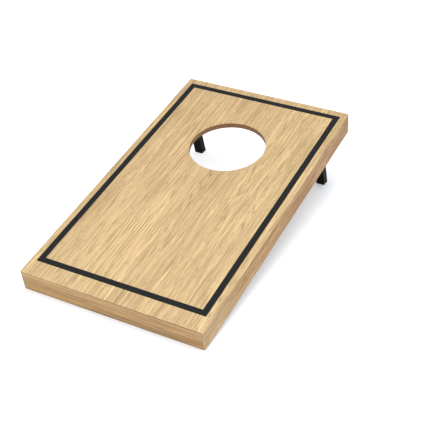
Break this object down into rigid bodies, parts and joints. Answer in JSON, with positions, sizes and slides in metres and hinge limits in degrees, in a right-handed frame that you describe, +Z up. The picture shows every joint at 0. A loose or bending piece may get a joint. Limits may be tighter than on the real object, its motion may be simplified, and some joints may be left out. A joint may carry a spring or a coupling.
{
  "type": "cornhole board",
  "caption": "Tabletop cornhole board: a shallow oak-faced box frame with a round bag hole, sloped on two folding rear legs.",
  "frame": {"origin": "bottom centre of the board as it stands: midway along and across it, on the floor", "axes": "+X to the right of a player facing the board, +Y from the front edge to the raised rear edge, +Z up"},
  "size_m": [0.206, 0.3543, 0.0882],
  "materials": {
    "oak_foil": "printed oak-grain foil, satin",
    "line_film": "matt black film",
    "edge_band": "oak edge band, grain along its length, satin",
    "panel_board": "bare brown fibreboard, matt",
    "rail_wood": "planed softwood, unfinished",
    "block_wood": "sawn softwood, unfinished",
    "zinc_steel": "zinc plated, satin",
    "screw_steel": "black oxide, satin",
    "nylon": "natural nylon, matt",
    "brass": "plain brass",
    "leg_black": "black paint, satin"
  },
  "bodies": {
    "board": {"oak_foil": "oak_foil", "border_line": "line_film", "front_edge_band": "edge_band", "rear_edge_band": "edge_band", "top_panel": "panel_board", "front_rail": "rail_wood", "rear_rail": "rail_wood", "left_rail": "rail_wood", "right_rail": "rail_wood", "front_corner_block_left": "block_wood", "front_corner_block_right": "block_wood", "rear_stop_block_left": "block_wood", "rear_stop_block_right": "block_wood", "block_screws": "zinc_steel", "mitre_nails": "zinc_steel", "pivot_screw_left": "screw_steel", "pivot_screw_right": "screw_steel", "head_washer_left": "zinc_steel", "head_washer_right": "zinc_steel", "nylon_washer_left": "nylon", "nylon_washer_right": "nylon", "threaded_insert_left": "brass", "threaded_insert_right": "brass"},
    "leg_right": {"leg_right": "leg_black"},
    "leg_left": {"leg_left": "leg_black"}
  },
  "joints": [
    {"name": "leg_right_fold", "type": "hinge", "parent": "board", "child": "leg_right", "pos_m": [0.0816, 0.13535, 0.06554], "axis": [-1, 0, 0], "range_deg": [0, 102]},
    {"name": "leg_left_fold", "type": "hinge", "parent": "board", "child": "leg_left", "pos_m": [-0.0816, 0.13535, 0.06554], "axis": [-1, 0, 0], "range_deg": [0, 102]}
  ]
}
